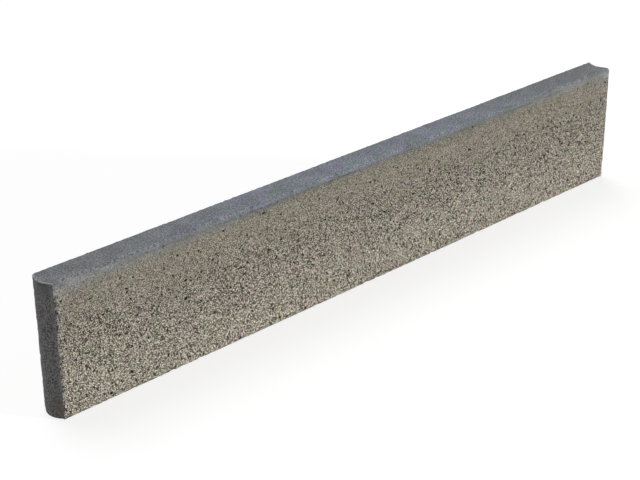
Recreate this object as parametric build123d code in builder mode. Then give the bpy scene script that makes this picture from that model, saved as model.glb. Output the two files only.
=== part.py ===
"""Concrete kerb stone that edges a lawn, bed or path, cast in one piece.

It stands on its narrow base, as it is laid. One end is a shallow rounded tongue and the other
is the groove that takes the next stone's tongue, so a row of stones keys together and can
follow a slight bend. The two long edges of the top are rounded; the base is left square.

Frame, in millimetres: +X runs along the stone from its tongue to its groove, +Y runs through
its thickness from the front face to the back face, and +Z is up. The origin is on the ground,
in the middle of the stone's overall length and of its thickness.
"""

import os
from math import sqrt

from build123d import *

# Driving dimensions
laid_length = 1000.0  # what one stone covers in a row, from tongue shoulder to groove rim
height = 175.0
thickness = 40.0
tongue_projection = 7.0  # how far the tongue stands out past its shoulders
tongue_shoulder = 3.0  # flat land on each side of the tongue
joint_clearance = 0.5  # gap round the tongue when the next stone's rim meets its shoulder
top_edge_radius = 5.0  # rounding of the two long top edges

# The tongue is a circular segment across the thickness
tongue_half_width = thickness / 2 - tongue_shoulder
tongue_radius = (tongue_half_width**2 + tongue_projection**2) / (2 * tongue_projection)

# The groove is concentric with the tongue that it takes, and larger by the clearance
groove_depth = tongue_projection + joint_clearance
groove_radius = tongue_radius + joint_clearance
centre_behind_rim = tongue_radius - tongue_projection
groove_half_width = sqrt(groove_radius**2 - centre_behind_rim**2)

# Places along the stone
overall_length = laid_length + tongue_projection
tongue_tip_x = -overall_length / 2
shoulder_x = tongue_tip_x + tongue_projection
rim_x = shoulder_x + laid_length
front_y = -thickness / 2
back_y = thickness / 2


with BuildPart() as kerb_stone:
    # The plan outline, with both joint ends, gives the stone its full height
    with BuildSketch(Plane.XY) as plan:
        with BuildLine():
            ThreePointArc(
                (shoulder_x, -tongue_half_width),
                (tongue_tip_x, 0),
                (shoulder_x, tongue_half_width),
            )
            Polyline(
                (shoulder_x, tongue_half_width),
                (shoulder_x, back_y),
                (rim_x, back_y),
                (rim_x, groove_half_width),
            )
            ThreePointArc(
                (rim_x, groove_half_width),
                (rim_x - groove_depth, 0),
                (rim_x, -groove_half_width),
            )
            Polyline(
                (rim_x, -groove_half_width),
                (rim_x, front_y),
                (shoulder_x, front_y),
                (shoulder_x, -tongue_half_width),
            )
        make_face()
    extrude(amount=height)

    # The mould's cross-section, run over the whole length, rounds the top of the tongue too
    with BuildSketch(Plane.YZ.offset(tongue_tip_x)) as cross_section:
        with Locations((0, height / 2)):
            Rectangle(thickness, height)
        fillet(cross_section.vertices().group_by(Axis.Z)[-1], radius=top_edge_radius)
    extrude(amount=overall_length, mode=Mode.INTERSECT)

kerb_stone.part.label = "kerb_stone"

os.makedirs("parts", exist_ok=True)
export_step(kerb_stone.part, "parts/kerb_stone.step")

print("overall length", overall_length, "volume in litres", round(kerb_stone.part.volume / 1e6, 4))
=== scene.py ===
# %% [markdown]
# # A concrete kerb stone
#
# This lesson dresses a cast kerb stone: one slim block of dry, open-textured concrete that
# edges a lawn or a path. The CAD model that comes with it has the right size, but its faces
# are as flat as glass. The real stone is full of small holes, its edges are worn, and its top
# is denser and bluer than its sides. We load the CAD stone first, because it sets the frame.

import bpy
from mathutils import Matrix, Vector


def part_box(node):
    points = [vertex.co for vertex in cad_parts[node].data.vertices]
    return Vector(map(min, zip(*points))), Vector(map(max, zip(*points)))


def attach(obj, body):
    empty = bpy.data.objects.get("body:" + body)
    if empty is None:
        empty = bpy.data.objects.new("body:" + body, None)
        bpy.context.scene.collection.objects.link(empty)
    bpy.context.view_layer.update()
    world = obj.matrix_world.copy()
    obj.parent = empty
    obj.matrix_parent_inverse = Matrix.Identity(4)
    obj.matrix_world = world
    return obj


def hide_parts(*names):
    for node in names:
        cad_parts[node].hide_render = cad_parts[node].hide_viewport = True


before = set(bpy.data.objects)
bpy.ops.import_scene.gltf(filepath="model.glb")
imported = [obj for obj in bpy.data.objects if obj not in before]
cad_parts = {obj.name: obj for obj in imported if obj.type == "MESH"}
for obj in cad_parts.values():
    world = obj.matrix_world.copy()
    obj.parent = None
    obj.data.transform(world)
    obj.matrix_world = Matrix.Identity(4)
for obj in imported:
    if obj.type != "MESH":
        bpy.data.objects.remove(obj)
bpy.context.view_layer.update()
low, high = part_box("kerb_stone")
print("CAD stone from", [round(v, 4) for v in low], "to", [round(v, 4) for v in high])

# %% Tools for the whole lesson
from math import pi, radians, sqrt

import bmesh
import bpy
from mathutils import Matrix, Vector, noise

scene = bpy.context.scene
scene.view_settings.view_transform = "Standard"
mm = 0.001

# %% [markdown]
# ## Measures
#
# The stone is 1000 mm long between the shoulder of its tongue and the rim of its groove, and
# the tongue adds 7 mm. Both ends are shallow arcs across the 40 mm thickness. The groove's arc
# is half a millimetre wider than the tongue's, so two stones key together without touching.

# %% Measures of the stone
height = high[2]
half = high[1]
shoulder_x, rim_x = -496.5 * mm, 503.5 * mm
tongue_half, groove_half = 17.0 * mm, 17.7 * mm
tongue_out = 7.0 * mm
joint_clearance = 0.5 * mm
tongue_radius = (tongue_half**2 + tongue_out**2) / (2 * tongue_out)
groove_radius = tongue_radius + joint_clearance
arc_centre = sqrt(tongue_radius**2 - tongue_half**2)  # how far behind its end each arc is struck
top_rounding = 5.0 * mm
print("tongue radius", round(tongue_radius / mm, 2), "mm")

# %% [markdown]
# ## Picking by place
#
# By hand, we would box-select a row of corners or a patch of faces. A script has no mouse, so
# one helper selects what lies in the right place, and the next operator then acts on it.


# %% A helper that selects by place
def pick(kind, test):
    """Select those verts, edges or faces of the mesh in edit mode that pass the test."""
    bpy.ops.mesh.select_mode(type={"verts": "VERT", "edges": "EDGE", "faces": "FACE"}[kind])
    bpy.ops.mesh.select_all(action="DESELECT")
    form = bmesh.from_edit_mesh(bpy.context.object.data)
    chosen = [item for item in getattr(form, kind) if test(item)]
    for item in chosen:
        item.select_set(True)
    form.select_flush_mode()
    bmesh.update_edit_mesh(bpy.context.object.data, loop_triangles=False, destructive=False)
    return len(chosen)


# %% [markdown]
# ## The cross-section
#
# A kerb stone is pressed in a steel mould with one section from end to end, so we draw that
# section first: an upright rectangle whose two top corners are rounded. Its outline is then
# filled with a grid of squares. A grid costs more corners than one flat face, but the relief
# of the concrete needs corners to move.

# %% Draw the section and fill it
bpy.ops.object.select_all(action="DESELECT")
bpy.ops.mesh.primitive_plane_add(
    size=1, location=(shoulder_x, 0, height / 2), rotation=(0, -pi / 2, 0))
stone = bpy.context.object
stone.name = stone.data.name = "kerb_stone_cast"
stone.scale = (height, 2 * half, 1)
bpy.ops.object.transform_apply(location=True, rotation=True, scale=True)

bpy.ops.object.mode_set(mode="EDIT")
pick("verts", lambda v: v.co.z > height - mm)
bpy.ops.mesh.bevel(
    offset_type="OFFSET", offset=top_rounding, segments=4, profile=0.5, affect="VERTICES")
bpy.ops.mesh.select_all(action="SELECT")
bpy.ops.mesh.delete(type="ONLY_FACE")

side_cells, top_cells, base_cells = 64, 12, 16
pick("edges", lambda e: e.calc_length() > height / 2)
bpy.ops.mesh.subdivide(number_cuts=side_cells - 1)
pick("edges", lambda e: e.calc_length() > half and e.verts[0].co.z > height / 2)
bpy.ops.mesh.subdivide(number_cuts=top_cells - 1)
pick("edges", lambda e: e.calc_length() > half)
bpy.ops.mesh.subdivide(number_cuts=base_cells - 1)
bpy.ops.mesh.select_all(action="SELECT")
bpy.ops.mesh.fill_grid(span=base_cells, offset=side_cells + 2, use_interp_simple=True)
longest = max(edge.calc_length() for edge in bmesh.from_edit_mesh(stone.data).edges)
print("section cells:", pick("faces", lambda f: True), "longest edge", round(longest / mm, 2), "mm")

# %% [markdown]
# ## The two ends
#
# A copy of the section goes to the far end, and the two outlines are bridged. An extrude makes
# the same shape, but it numbers the edges differently each time, and that can move a hole later.
#
# The ends are bent while the long sides are still single strips. Each end's columns of corners
# are pressed onto a round bar, as the mould does with a half-round insert: one bar makes the
# tongue and a slightly thicker one the groove. Shrinkwrap does that exactly, and the bars are
# thrown away afterwards.

# %% Copy the section to the far end and bridge the outlines
bpy.ops.mesh.select_all(action="SELECT")
bpy.ops.mesh.duplicate_move(
    TRANSFORM_OT_translate={"value": (rim_x - shoulder_x, 0, 0)})
print("outline edges:", pick("edges", lambda e: e.is_boundary))
bpy.ops.mesh.bridge_edge_loops()
bpy.ops.mesh.select_all(action="SELECT")
bpy.ops.mesh.normals_make_consistent(inside=False)
print("corners:", pick("verts", lambda v: True))

# %% Press each end onto a round bar
near = 0.5 * mm  # a corner this close to a place belongs to it
column, column_slack = half - 2 * half / base_cells, 0.4 * mm


def press_end(name, end_x, half_width, radius):
    """Press the end's middle columns onto a bar, once the outer column is on its shoulder."""
    bpy.ops.object.mode_set(mode="EDIT")
    pick("verts", lambda v: abs(v.co.x - end_x) < near
         and abs(abs(v.co.y) - column) < column_slack)
    bpy.ops.transform.resize(value=(1, half_width / column, 1), center_override=(end_x, 0, 0))
    pick("verts", lambda v: abs(v.co.x - end_x) < near and abs(v.co.y) < half_width - near)
    bpy.ops.object.vertex_group_assign_new()
    stone.vertex_groups.active.name = name
    bpy.ops.object.mode_set(mode="OBJECT")

    bpy.ops.mesh.primitive_cylinder_add(
        vertices=360, radius=radius, depth=2 * height, location=(end_x + arc_centre, 0, height / 2))
    bar = bpy.context.object
    bpy.ops.object.select_all(action="DESELECT")
    stone.select_set(True)
    bpy.context.view_layer.objects.active = stone
    press = stone.modifiers.new(name, "SHRINKWRAP")
    press.target, press.vertex_group = bar, name
    press.wrap_method = "PROJECT"
    press.use_project_x = True
    press.use_positive_direction, press.use_negative_direction = False, True
    bpy.ops.object.modifier_apply(modifier=press.name)
    bpy.data.objects.remove(bar)


press_end("tongue", shoulder_x, tongue_half, tongue_radius)
press_end("groove", rim_x, groove_half, groove_radius)
xs = [v.co.x for v in stone.data.vertices]
print("length over all", round((max(xs) - min(xs)) / mm, 2), "mm")

# %% [markdown]
# ## Cells along the stone
#
# Now the long strips are cut across, in two steps because one subdivide makes at most a
# hundred cuts. The cells end up about 2.6 mm square, the size of the coarse grit in the mix.

# %% Cut the strips into cells
bpy.ops.object.mode_set(mode="EDIT")


def runs_along(edge):
    """True for an edge in line with the stone."""
    a, b = (v.co for v in edge.verts)
    return abs(a.x - b.x) > 0.95 * (a - b).length


for cuts in (4, 75):
    print("edges cut:", pick("edges", runs_along))
    bpy.ops.mesh.subdivide(number_cuts=cuts)

# %% [markdown]
# ## Worn arrises
#
# An arris is the edge between two faces. Dry-cast concrete never keeps a sharp one: the mould
# leaves it a little round, and handling wears it further. All edges sharper than 28 degrees
# are bevelled together, which leaves out the smooth arcs and the rounded top. A number stored
# on the new corners tells the material later where the stone is worn, and where it paints
# highlights on the arrises.

# %% Round the arrises
wear = 0.9 * mm
bpy.ops.object.mode_set(mode="OBJECT")
bpy.ops.geometry.attribute_add(name="worn", domain="POINT", data_type="FLOAT")
bpy.ops.object.mode_set(mode="EDIT")
bpy.ops.mesh.select_all(action="DESELECT")
bpy.ops.mesh.edges_select_sharp(sharpness=radians(28))
bpy.ops.mesh.bevel(
    offset_type="OFFSET", offset=wear, segments=2, profile=0.5, affect="EDGES",
    clamp_overlap=True)
bpy.ops.mesh.attribute_set(value_float=1.0)
print("faces after the bevel:", pick("faces", lambda f: True))

# %% [markdown]
# ## Breaking up the grid
#
# Holes cut into a regular grid would look like a colander. So each corner is first shaken by
# about a millimetre, and then the shake is flattened across the face, because the mould kept
# the faces fairly true. A displace modifier with a coloured cloud texture does the shaking,
# red for x, green for y and blue for z. It goes by the place of a corner and not by its number.


# %% Shake the corners
def on_side(v, side):
    return v.co.y * side > half - near and v.co.z < height - top_rounding


def on_top(v):
    return v.co.z > height - near


def at_arris(v):
    """True within a cell of the stone's ends or base."""
    return min(v.co.z, v.co.x - shoulder_x, rim_x - v.co.x) < 2 * mm


def shake(name, test, strength):
    """Shake the corners that pass the test along all three axes."""
    bpy.ops.object.mode_set(mode="EDIT")
    count = pick("verts", test)
    bpy.ops.object.vertex_group_assign_new()
    stone.vertex_groups.active.name = name
    bpy.ops.object.mode_set(mode="OBJECT")
    texture = bpy.data.textures.new(name, "CLOUDS")
    texture.cloud_type = "COLOR"
    texture.noise_scale, texture.noise_depth = 1.7 * mm, 0
    mover = stone.modifiers.new(name, "DISPLACE")
    mover.texture, mover.texture_coords, mover.vertex_group = texture, "LOCAL", name
    mover.direction, mover.strength, mover.mid_level = "RGB_TO_XYZ", strength, 0.5
    bpy.ops.object.modifier_apply(modifier=mover.name)
    bpy.ops.object.mode_set(mode="EDIT")
    return count


side_shake, top_shake = 2.6 * mm, 2.0 * mm
side_flattening, top_flattening = 0.22, 0.12
for name, side in (("front", -1), ("back", 1)):
    print(name, "corners shaken:",
          shake(name, lambda v: on_side(v, side) and not at_arris(v), side_shake))
    bpy.ops.transform.resize(
        value=(1, side_flattening, 1), center_override=(0, half * side, 0))
print("top corners shaken:", shake("top", lambda v: on_top(v) and not at_arris(v), top_shake))
bpy.ops.transform.resize(value=(1, 1, top_flattening), center_override=(0, 0, height))

# %% [markdown]
# ## Open texture
# The mix is nearly dry, so it doesn't flow shut round its coarse grit, and the sides stay
# full of holes of 2 to 5 mm. Each hole is an inset patch of faces, sunk below its rim. Patches
# that touch are inset together, which gives the larger holes their crooked outlines. The
# trowelled strip under the top edge has far fewer. A number stored on the sunk corners, larger
# for the deeper holes, tells the material later how much shade to paint into the hole. A number
# stored on the sunk corners tells
# the material later how deep it is.

# %% Sink the holes
bpy.ops.object.mode_set(mode="OBJECT")
bpy.ops.geometry.attribute_add(name="hole_shade", domain="POINT", data_type="FLOAT")
bpy.ops.object.mode_set(mode="EDIT")


def openness(place):
    """How open the texture is at a place on a side: 0 is closed and 1 is full of holes."""
    patches = 0.9 + 0.3 * noise.noise(Vector((place.x * 22, place.y * 40, place.z * 26)))
    closed_strip = min(1, max(0.15, (height - 6 * mm - place.z) / (60 * mm)))
    ragged_foot = 1.6 if place.z < 9 * mm else 1
    return patches * closed_strip * ragged_foot


def lot(place, draw):
    """A random number from 0 to 1 that goes by the place, so that it is the same each run."""
    cell = Vector(place) / mm + Vector((0, 0, 1000 * draw))
    return 0.5 + 0.5 * noise.cell(cell)


def sink(side, draw, share, rim, depth, hole_shade):
    """Sink a random share of one side's faces, and store how much shade is painted on their floors.
    """
    def chosen(face):
        place = face.calc_center_median()
        if place.y * side < half - 0.35 * mm or place.z > height - 6 * mm:
            return False
        if min(place.z + mm, place.x - shoulder_x, rim_x - place.x) < 2.5 * mm:
            return False
        return lot(place, draw) < share * openness(place)
    count = pick("faces", chosen)
    bpy.ops.mesh.inset(thickness=rim, depth=-depth, use_even_offset=True)
    # the stored number is painted shade: the material darkens the hole's floor by it
    bpy.ops.mesh.attribute_set(value_float=hole_shade)
    return count


# Each row is a kind of hole: its draw, share of the faces, rim, depth and painted shade
hole_kinds = (
    (1, 0.015, 0.35 * mm, 2.4 * mm, 1.2),
    (2, 0.03, 0.5 * mm, 1.4 * mm, 1.0),
    (3, 0.04, 0.6 * mm, 0.8 * mm, 0.2),
)
for side in (-1, 1):
    for hole_kind in hole_kinds:
        print("side", side, "cells sunk:", sink(side, *hole_kind))

# %% [markdown]
# ## Chips
#
# The foot of the stone and its upright arrises are knocked on every pallet. Short runs of the
# rounded arris are picked by a noise pattern and pushed into the stone, so that bits of it
# seem to have broken off.


# %% Chip the foot and the upright arrises
def chipped(place, scale, share):
    """True for a share of the places, in runs whose length goes by the scale."""
    return noise.noise(place * scale) > 0.5 - share


foot_zone, face_zone = 1.3 * mm, 1.4 * mm  # how far the rounded arris reaches up and in
for side in (-1, 1):
    for scale, share, dent in ((210, 0.3, 0.5 * mm), (90, 0.16, 0.9 * mm)):
        chips = pick("verts", lambda v: v.co.z < foot_zone and v.co.y * side > half - face_zone
                     and chipped(v.co, scale, share))
        bpy.ops.transform.translate(value=(0, -dent * side, 0.6 * dent))
        for end_x, inward in ((shoulder_x, 1), (rim_x, -1)):
            chips += pick("verts", lambda v: abs(v.co.x - end_x) < foot_zone
                          and v.co.y * side > half - face_zone
                          and v.co.z < height - top_rounding
                          and chipped(v.co, scale, share - 0.05))
            bpy.ops.transform.translate(value=(0.3 * dent * inward, -0.3 * dent * side, 0))
        print("corners knocked in:", chips)

# %% Count the triangles so far
bpy.ops.object.mode_set(mode="OBJECT")
print("triangles:", sum(len(p.vertices) - 2 for p in stone.data.polygons))

# %% [markdown]
# ## Uneven faces
#
# The last relief is unevenness at two sizes, from displace modifiers with cloud textures.
# The base is left out, so that the stone still rests flat on the ground. The vertex groups
# have then done their work and go.


# %% Add the unevenness
def uneven(name, size, strength):
    """Move the faces in and out by a cloud pattern of a given size."""
    texture = bpy.data.textures.new(name, "CLOUDS")
    texture.noise_scale, texture.noise_depth = size, 2
    lift = stone.modifiers.new(name, "DISPLACE")
    lift.texture, lift.texture_coords = texture, "LOCAL"
    lift.strength, lift.mid_level = strength, 0.5
    lift.vertex_group = "above_base"
    bpy.ops.object.modifier_apply(modifier=lift.name)


bpy.ops.object.mode_set(mode="EDIT")
pick("verts", lambda v: v.co.z > 1.2 * mm)
bpy.ops.object.vertex_group_assign_new()
stone.vertex_groups.active.name = "above_base"
bpy.ops.object.mode_set(mode="OBJECT")
uneven("broad waves", 90 * mm, 0.7 * mm)
uneven("fine waves", 9 * mm, 0.18 * mm)
bpy.ops.object.vertex_group_remove(all=True)
bpy.ops.object.shade_smooth_by_angle(angle=radians(40))
corners = [v.co / mm for v in stone.data.vertices]
print("box in mm from", [round(min(c[axis] for c in corners), 2) for axis in range(3)],
      "to", [round(max(c[axis] for c in corners), 2) for axis in range(3)])

# %% [markdown]
# ## Concrete
#
# One material covers the stone, because it is one casting. What differs from face to face
# comes from the place: the sides are beige and speckled with grit, the trowelled top is a
# denser blue-grey, and the ends are plain and smoother. Painted pictures would do too, but
# noise that reads the place has no seams, and it stays sharp however close we look.
#
# The helpers below each add one node and hand back its result, so that the material reads
# like a recipe. A mask is a number from 0 to 1 that says how much of something there is.

# %% Node helpers
concrete = bpy.data.materials.new("open textured concrete")
concrete.use_nodes = True
nodes, links = concrete.node_tree.nodes, concrete.node_tree.links
shader = nodes["Principled BSDF"]


def step(kind, sockets=None, **settings):
    """Add one node, set it up, and return it."""
    made = nodes.new("ShaderNode" + kind)
    for name, value in settings.items():
        setattr(made, name, value)
    for socket, value in (sockets or {}).items():
        if isinstance(value, bpy.types.NodeSocket):
            links.new(value, made.inputs[socket])
        else:
            made.inputs[socket].default_value = value
    return made


def calc(operation, a, b=0.0, c=0.0):
    """One sum with numbers."""
    return step("Math", {0: a, 1: b, 2: c}, operation=operation).outputs[0]


def times(first, *others):
    """Multiply numbers, which leaves only what all of these masks cover."""
    for other in others:
        first = calc("MULTIPLY", first, other)
    return first


def largest(first, *others):
    """The largest of some numbers, which joins masks."""
    for other in others:
        first = calc("MAXIMUM", first, other)
    return first


def outside(mask):
    """What a mask leaves free."""
    return calc("SUBTRACT", 1.0, mask)


# %% Helpers for soft changes, colours and noise
def fade(value, start, end, low=0.0, high=1.0):
    """A smooth change from low to high while value goes from start to end."""
    return step("MapRange", {0: value, 1: start, 2: end, 3: low, 4: high},
                interpolation_type="SMOOTHSTEP").outputs[0]


def mix(factor, a, b):
    """Mix two numbers."""
    return step("Mix", {0: factor, 2: a, 3: b}).outputs[0]


def blend(factor, a, b, mode="MIX"):
    """Mix two colours."""
    made = step("Mix", {0: factor, 6: a, 7: b}, data_type="RGBA", blend_type=mode)
    return made.outputs[2]


def tint(colour, value):
    """Darken or lighten a colour by a number."""
    grey = step("CombineColor", {0: value, 1: value, 2: value}).outputs[0]
    return blend(1.0, colour, grey, "MULTIPLY")


def clouds(scale, detail=2.0, roughness=0.5, distortion=0.0):
    """Soft noise round 0.5, with patches of about a metre divided by the scale."""
    return step("TexNoise", {"Vector": place, "Scale": scale, "Detail": detail,
                             "Roughness": roughness, "Distortion": distortion}).outputs[0]


def pebbles(scale, channel):
    """Rounded cells: the distance from each middle, and a random number for each cell."""
    cells = step("TexVoronoi", {"Vector": place, "Scale": scale})
    dice = step("SeparateColor", {0: cells.outputs["Color"]}).outputs[channel]
    return cells.outputs["Distance"], dice


# %% [markdown]
# ## Where on the stone
#
# On the real stone the top is trowelled smooth, and its fine paste creeps a few millimetres
# down the front, further at the tongue end. So the mask of the top isn't cut at the edge: it
# fades out below it, at a height that wanders. The ends are found by their x, and what is
# neither top nor end is side.

# %% Masks for the top, the ends and the sides
place = step("TexCoord").outputs["Object"]
x, y, z = step("SeparateXYZ", {0: place}).outputs
# how much shade to paint into each modelled hole
hole_shade = step("Attribute", attribute_name="hole_shade").outputs["Fac"]
worn = step("Attribute", attribute_name="worn").outputs["Fac"]
wander = calc("MULTIPLY_ADD", clouds(60, 4, 0.6), 12 * mm, -6 * mm)
drop = calc("ADD", fade(x, -60 * mm, shoulder_x, 12 * mm, 27 * mm),
            fade(x, 60 * mm, rim_x, 0.0, 8 * mm))
is_top = fade(calc("ADD", z, wander), calc("SUBTRACT", height, drop), height - 1 * mm)
tongue_face = calc("LESS_THAN", x, shoulder_x + wear / 2)
groove_face = times(calc("GREATER_THAN", x, rim_x - 8.2 * mm),
                    calc("LESS_THAN", calc("ABSOLUTE", y), half - 0.7 * mm))
is_end = largest(tongue_face, groove_face)
is_side = times(outside(is_top), outside(is_end))
towards_ends = fade(calc("ABSOLUTE", x), 150 * mm, 450 * mm)
at_arrises = largest(fade(x, shoulder_x + 16 * mm, shoulder_x + 3 * mm),
                     fade(x, rim_x - 18 * mm, rim_x - 4 * mm))
below_top = fade(z, height - 5 * mm, height - 10 * mm)
print("nodes after the masks:", len(nodes))

# %% [markdown]
# ## Beige sides
#
# Sand and cement give the sides their beige. It is mottled in faint green and pink patches,
# darker under the top edge, paler at the foot, and slightly lilac high up at the ends. The
# patches are noise, and the rest are soft changes with the height or with the length.

# %% Colours of the sides
beige = (0.372, 0.331, 0.255, 1)
greener, pinker = (0.973, 1.014, 0.962, 1), (1.027, 0.986, 1.028, 1)
dull_beige, dull_beige_at_ends = (0.240, 0.227, 0.182, 1), (0.285, 0.272, 0.220, 1)
dull_beige_at_groove = (0.315, 0.301, 0.244, 1)
lilac_grey = (0.29, 0.277, 0.29, 1)

mottling = blend(fade(clouds(46, 2, 0.6, 0.4), 0.36, 0.64), greener, pinker)
under_edge = blend(towards_ends, dull_beige, dull_beige_at_ends)
under_edge = blend(fade(x, 250 * mm, 420 * mm), under_edge, dull_beige_at_groove)
side_colour = blend(fade(z, height - 30 * mm, height - 4 * mm), beige, under_edge)
stains = fade(clouds(14, 3, 0.6), 0.35, 0.7, 0.95, 1.05)
paler_foot = fade(z, 145 * mm, 5 * mm, 0.81, 1.62)
side_colour = tint(tint(side_colour, stains), paler_foot)
near_ends = largest(fade(x, shoulder_x + 14 * mm, shoulder_x + 2 * mm),
                    fade(x, rim_x - 45 * mm, rim_x - 5 * mm, 0.0, 0.5))
lilac = times(near_ends, fade(z, 95 * mm, 150 * mm, 0.0, 0.55))
side_colour = blend(lilac, side_colour, lilac_grey)
print("nodes after the beige:", len(nodes))

# %% [markdown]
# ## Grit
#
# Up close the sides are pale and dark grains, with gaps between them that are painted dark as
# shade. Grains of about a millimetre are far too many to model, so they are noise: cells give each
# grain its own tone, and fine sand breaks them up. The paste under the top edge covers most of the
# grit.

# %% Grit of the sides
pale_sand = (0.88, 0.82, 0.70, 1)

open_strip = fade(z, height - 4 * mm, height - 105 * mm, 0.4, 1.0)
open_strip = largest(open_strip, times(at_arrises, below_top, 0.95))
open_strip = times(open_strip, is_side)
from_grain, grain_dice = pebbles(730.0, 0)
sand = clouds(920, 0)
grit = calc("MULTIPLY_ADD", fade(sand, 0.42, 0.58, -1, 1), 0.95,
            fade(grain_dice, 0, 1, -0.2, 0.2))
pale_grains = largest(grit, 0.0)
dark_grains = largest(times(grit, -1.0), 0.0)
# gaps between the grains, where shade is painted later; the bump sinks them too
gap = times(fade(from_grain, 0.46, 0.66), open_strip)
sides = blend(times(pale_grains, open_strip, 0.80), side_colour, pale_sand)
sides = blend(1.0, sides, mottling, "MULTIPLY")
sides = tint(sides, fade(z, 145 * mm, 5 * mm, 0.93, 1.17))
print("nodes after the grit:", len(nodes))

# %% [markdown]
# ## Pits and pinholes
#
# Between the holes that are modelled, there are smaller ones: pits of a few millimetres with
# crooked edges, and pinholes. Both are cells of which only the luckiest are painted dark with
# the shade of a hole, in clusters as on the real stone. A power makes most pits small and a few
# of them large.

# %% Pits, pinholes and the bitten edge at the tongue
from_pit, pit_dice = pebbles(225.0, 1)
pit_luck = calc("ADD", pit_dice, calc("MULTIPLY_ADD", clouds(38, 2), 0.9, -0.42))
pit_luck = calc("ADD", pit_luck, calc("MULTIPLY_ADD", open_strip, 0.3, -0.3))
pit_size = calc("MULTIPLY_ADD", calc("POWER", largest(pit_luck, 0.0), 4.0), 0.56, -0.1)
pit_edge = calc("SUBTRACT", from_pit, calc("MINIMUM", pit_size, 0.34))
pit_edge = calc("ADD", pit_edge, calc("MULTIPLY_ADD", sand, 0.5, -0.25))
# where the shade of small holes that aren't modelled is painted; the bump sinks them too
pit = times(fade(pit_edge, 0.04, -0.04), is_side)

from_pinhole, pinhole_dice = pebbles(410.0, 2)
pinhole_luck = calc("ADD", pinhole_dice, calc("MULTIPLY_ADD", clouds(52, 2), 0.9, -0.45))
pinhole = times(fade(pinhole_luck, 0.62, 0.68), fade(from_pinhole, 0.42, 0.34), open_strip)
pit = largest(pit, pinhole)
# the bitten edge is painted shade of small chips along the tongue's upright arris
bitten = times(fade(x, shoulder_x + 4.5 * mm, shoulder_x + 1 * mm),
               fade(clouds(300, 2), 0.48, 0.54), is_side)
print("nodes after the pits:", len(nodes))

# %% [markdown]
# ## Blue-grey top
#
# Trowelling brings up fine paste and closes the top, so it is smoother, denser and bluer
# than the sides. It still has specks, blotches and streaks, which are noise at three sizes.
# Where the paste runs out over the front edge it thins to a neutral grey.

# %% Colours of the top
greenish_blue, violet_blue = (0.177, 0.208, 0.220, 1), (0.194, 0.197, 0.245, 1)
slate = (0.168, 0.177, 0.186, 1)
thin_paste = (0.222, 0.226, 0.226, 1)

top_specks = calc("MULTIPLY_ADD", fade(clouds(560, 1, 0.6), 0.34, 0.66, -0.5, 0.5),
                  fade(z, height - 4 * mm, height - 0.5 * mm, 0.5, 1.0), 1.0)
top_blotches = calc("MULTIPLY_ADD", fade(clouds(210, 1), 0.35, 0.65, -1, 1),
                    fade(x, 0.0, 350 * mm, 0.09, 0.02), 1.0)
top_streaks = fade(clouds(34, 4, 0.65, 0.8), 0.35, 0.65, 0.87, 1.13)
top_colour = blend(fade(clouds(60, 2), 0.4, 0.6), greenish_blue, violet_blue)
top_colour = blend(towards_ends, top_colour, slate)
# painted shade: the back half of the top is darker towards the ends
painted_back_shade = times(towards_ends, fade(y, -12 * mm, 16 * mm))
top_colour = tint(top_colour, fade(painted_back_shade, 0, 1, 1.0, 0.92))
over_the_edge = times(towards_ends, fade(z, height - 1 * mm, height - 6 * mm))
top_colour = blend(over_the_edge, top_colour, thin_paste)
top = tint(tint(tint(top_colour, top_specks), top_streaks), top_blotches)
print("nodes after the top:", len(nodes))

# %% [markdown]
# ## Plain ends
#
# The inserts of the mould leave the two ends smoother than the sides, in a plain grey. Low on
# the tongue there is a brown stain, which is the distance from one point with a ragged edge.

# %% Colours of the ends
plain_grey, warm_grey = (0.261, 0.263, 0.258, 1), (0.284, 0.268, 0.277, 1)
stain_brown = (0.27, 0.185, 0.13, 1)
stain_middle = (shoulder_x, -16 * mm, 16 * mm)

end_colour = blend(fade(clouds(60, 3), 0.4, 0.6), plain_grey, warm_grey)
ends = tint(end_colour, fade(clouds(520, 1, 0.6), 0.34, 0.66, 0.5, 1.5))
from_stain = step("VectorMath", {0: place, 1: stain_middle}, operation="DISTANCE")
stain = fade(calc("ADD", from_stain.outputs["Value"], wander), 17 * mm, 5 * mm, 0.0, 0.8)
ends = blend(times(stain, fade(clouds(240, 3), 0.4, 0.6, 0.3, 1)), ends, stain_brown)
colour = blend(is_top, blend(is_end, sides, ends), top)
print("nodes after the ends:", len(nodes))

# %% [markdown]
# ## Where the paste ends
#
# The edge of the paste on the front is what makes the stone look cast and not painted. At the
# ends it is thin, and the grit shows through. In the middle it stops at a small broken lip,
# under which a row of dark dots is painted shadow just below the rounded edge. Faint dark
# lines run along it in places.

# %% Fringe, painted lip shadow and lines below the top edge
shown_grain = (0.60, 0.58, 0.53, 1)
pale_speck = (0.60, 0.59, 0.58, 1)
lip_middle = -80 * mm

fringe = times(is_top, outside(is_end), below_top, towards_ends, mix(at_arrises, 0.5, 1.0))
colour = blend(times(pale_grains, fringe, 0.9), colour, shown_grain)
specks = times(fade(clouds(640, 0), 0.54, 0.62, 0.0, 0.55), at_arrises, outside(is_end), below_top)
colour = blend(specks, colour, pale_speck)

line_z = calc("MULTIPLY_ADD", wander, 0.5, z)
line = times(fade(line_z, height - 11 * mm, height - 7.5 * mm),
             fade(line_z, height - 4 * mm, height - 6.5 * mm),
             fade(clouds(11, 2), 0.48, 0.6, 0.0, 0.3), outside(is_end))
lip_z = calc("MULTIPLY_ADD", wander, 0.2, z)
from_lip_middle = calc("ABSOLUTE", calc("SUBTRACT", x, lip_middle))
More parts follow.
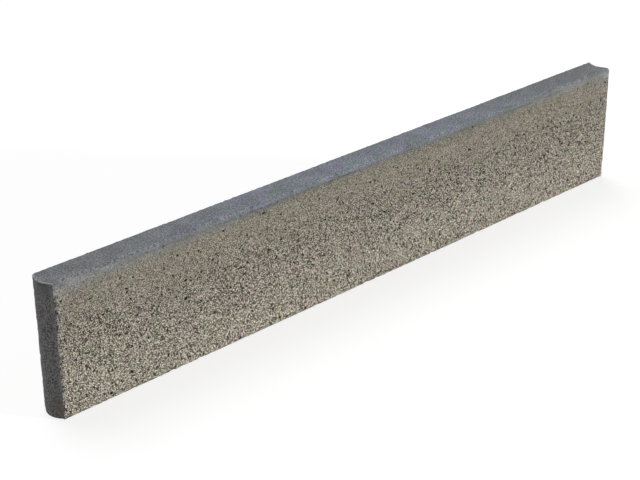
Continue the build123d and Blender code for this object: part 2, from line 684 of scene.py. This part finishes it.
# dots of painted shadow under the broken lip of the paste
painted_lip_shadow = times(fade(lip_z, height - 8 * mm, height - 6.6 * mm),
            fade(lip_z, height - 4.6 * mm, height - 6 * mm),
            fade(clouds(330, 1), 0.55, 0.6),
            fade(from_lip_middle, 240 * mm, 150 * mm, 0.0, 0.7), calc("LESS_THAN", y, 0.0))
print("nodes after the fringe:", len(nodes))

# %% [markdown]
# ## Painted shade, dark grit, wear and painted highlights
#
# The gaps between grains, the lip, the pits and the modelled holes get painted shade, so those
# turn dark brown, the deep ones nearly black; dark grains of the grit and faint lines take the
# same brown. Rubbed arrises are pale, from wear and a painted highlight, most of all the top
# arris of the tongue, which gets a painted highlight. The numbers stored on the corners of the
# mesh say where each belongs.

# %% Paint shade into the gaps and holes, and rub the arrises and paint their highlights
grit_and_shade_brown, hole_shade_brown = (0.034, 0.028, 0.018, 1), (0.016, 0.013, 0.009, 1)
# pale greys for wear with a painted highlight, and for the painted highlight on the tongue's rim
wear_and_highlight_grey, rim_highlight_grey = (0.44, 0.43, 0.41, 1), (0.46, 0.46, 0.45, 1)

# dark grains, with painted shade in the gaps, the faint lines and the painted lip shadow
dark_grit_and_shade = largest(times(gap, 0.6), times(dark_grains, open_strip), times(dark_grains, fringe))
dark_grit_and_shade = largest(calc("MINIMUM", dark_grit_and_shade, 0.97), line, painted_lip_shadow)
colour = blend(dark_grit_and_shade, colour, grit_and_shade_brown)
# painted shade in the modelled holes, the pits, the pinholes and the bitten edge
hole_and_pit_shade = largest(times(hole_shade, 0.85), pit, bitten)
colour = blend(calc("MINIMUM", hole_and_pit_shade, 0.98), colour, hole_shade_brown)
# rubbed arrises: pale from wear, and also a painted highlight on the rounding
wear_and_highlight = times(worn, fade(clouds(260, 3, 0.6), 0.47, 0.55), fade(z, 1 * mm, 6 * mm, 0.15, 0.6))
colour = blend(wear_and_highlight, colour, wear_and_highlight_grey)
# a painted highlight along the worn top arris of the tongue
rim = times(fade(x, shoulder_x + 2 * mm, shoulder_x),
            fade(z, height - 1.6 * mm, height - 0.9 * mm), worn,
            fade(clouds(330, 2), 0.38, 0.5, 0.15, 0.9))
colour = blend(rim, colour, rim_highlight_grey)
links.new(colour, shader.inputs["Base Color"])
print("nodes after dirt and wear:", len(nodes))

# %% [markdown]
# ## Roughness and bump
#
# Dry concrete has hardly any shine, and the trowelled top has a little more than the rest. The
# grains and pits are also fed to a bump node, because light from the side catches them.

# %% Roughness and bump
links.new(mix(is_top, 0.93, 0.78), shader.inputs["Roughness"])
shader.inputs["Specular IOR Level"].default_value = 0.3
relief = calc("SUBTRACT", times(sand, mix(open_strip, 0.3, 0.8)), times(gap, 0.6))
relief = calc("SUBTRACT", relief, times(pit, 1.2))
bump = step("Bump", {"Strength": 0.9, "Distance": 1.2 * mm, "Height": relief})
links.new(bump.outputs[0], shader.inputs["Normal"])

stone.data.materials.clear()
stone.data.materials.append(concrete)
print("nodes in the concrete:", len(nodes))

# %% Hand the stone to the frame
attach(stone, "root")
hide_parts("kerb_stone")

# %% [markdown]
# ## Floor
#
# The stone stands on a plain pale floor. Its paper is grey under the lamps, so that it throws
# little light back onto the stone, and what the camera sees of it is lifted to white. The
# soft shadow of the stone stays.

# %% Floor
bpy.ops.object.select_all(action="DESELECT")
bpy.ops.mesh.primitive_plane_add(size=30, location=(0, 0, 0))
floor = bpy.context.object
floor.name = "studio_floor"
paper = bpy.data.materials.new("white paper")
paper.use_nodes = True
nodes, links = paper.node_tree.nodes, paper.node_tree.links
paper_shader = nodes["Principled BSDF"]
paper_shader.inputs["Base Color"].default_value = (0.36, 0.36, 0.36, 1)
paper_shader.inputs["Roughness"].default_value = 1.0
paper_shader.inputs["Specular IOR Level"].default_value = 0.0


def seen():
    """1 for the rays that show the background: straight, or by way of gloss or glass."""
    rays = step("LightPath").outputs
    return largest(rays["Is Camera Ray"], rays["Is Glossy Ray"], rays["Is Transmission Ray"])


glow = step("Emission", {"Color": (1, 1, 1, 1), "Strength": times(seen(), 0.75)})
both = step("AddShader", {0: paper_shader.outputs[0], 1: glow.outputs[0]})
links.new(both.outputs[0], nodes["Material Output"].inputs["Surface"])
floor.data.materials.append(paper)
print("floor", floor.name)

# %% [markdown]
# ## Light
#
# A low sun from the front right lights the front fully and leaves the tongue end in shade.
# The light from above is very soft. It leans to the back, so that the rounded front edge of
# the top doesn't shine as a bright strip. The world fills in the rest.

# %% World and lamps
world = bpy.data.worlds.new("studio")
scene.world = world
world.use_nodes = True
nodes, links = world.node_tree.nodes, world.node_tree.links
links.new(mix(seen(), 0.235, 1.0), nodes["Background"].inputs["Strength"])
nodes["Background"].inputs["Color"].default_value = (1, 1, 1, 1)


def add_sun(name, towards, strength, spread):
    """A sun that shines from the given direction; the spread in degrees softens its shadows."""
    lamp = bpy.data.objects.new(name, bpy.data.lights.new(name, "SUN"))
    scene.collection.objects.link(lamp)
    lamp.data.energy, lamp.data.angle = strength * pi, radians(spread)
    lamp.rotation_euler = Vector(towards).to_track_quat("Z", "Y").to_euler()
    print(name, "from", towards)


add_sun("front_right_light", (0.62, -0.77, 0.15), 0.88, 6)
add_sun("overhead_light", (0.1, 0.45, 0.88), 0.47, 40)

# %% [markdown]
# ## Camera
#
# The camera looks down on the stone from beyond its tongue end. Its place and its three
# angles were fitted to the stone's outline in the picture, and so was its focal length,
# which is given in pixels of a picture 640 pixels wide.

# %% Camera
focal_pixels, picture_pixels, sensor_width = 1584.26, 640, 36
yaw, pitch, roll = radians(43.2724), radians(25.8456), radians(-0.4988)
camera = bpy.data.objects.new("camera", bpy.data.cameras.new("camera"))
scene.collection.objects.link(camera)
camera.data.sensor_width = sensor_width
camera.data.lens = focal_pixels / picture_pixels * sensor_width
camera.data.clip_end = 100
camera.location = (-1.34195, -1.34799, 0.97561)
turn = Matrix.Rotation(-yaw, 4, "Z") @ Matrix.Rotation(pi / 2 - pitch, 4, "X")
turn = turn @ Matrix.Rotation(roll, 4, "Z")
camera.rotation_euler = turn.to_euler()
scene.camera = camera
print("lens", round(camera.data.lens, 1), "mm")
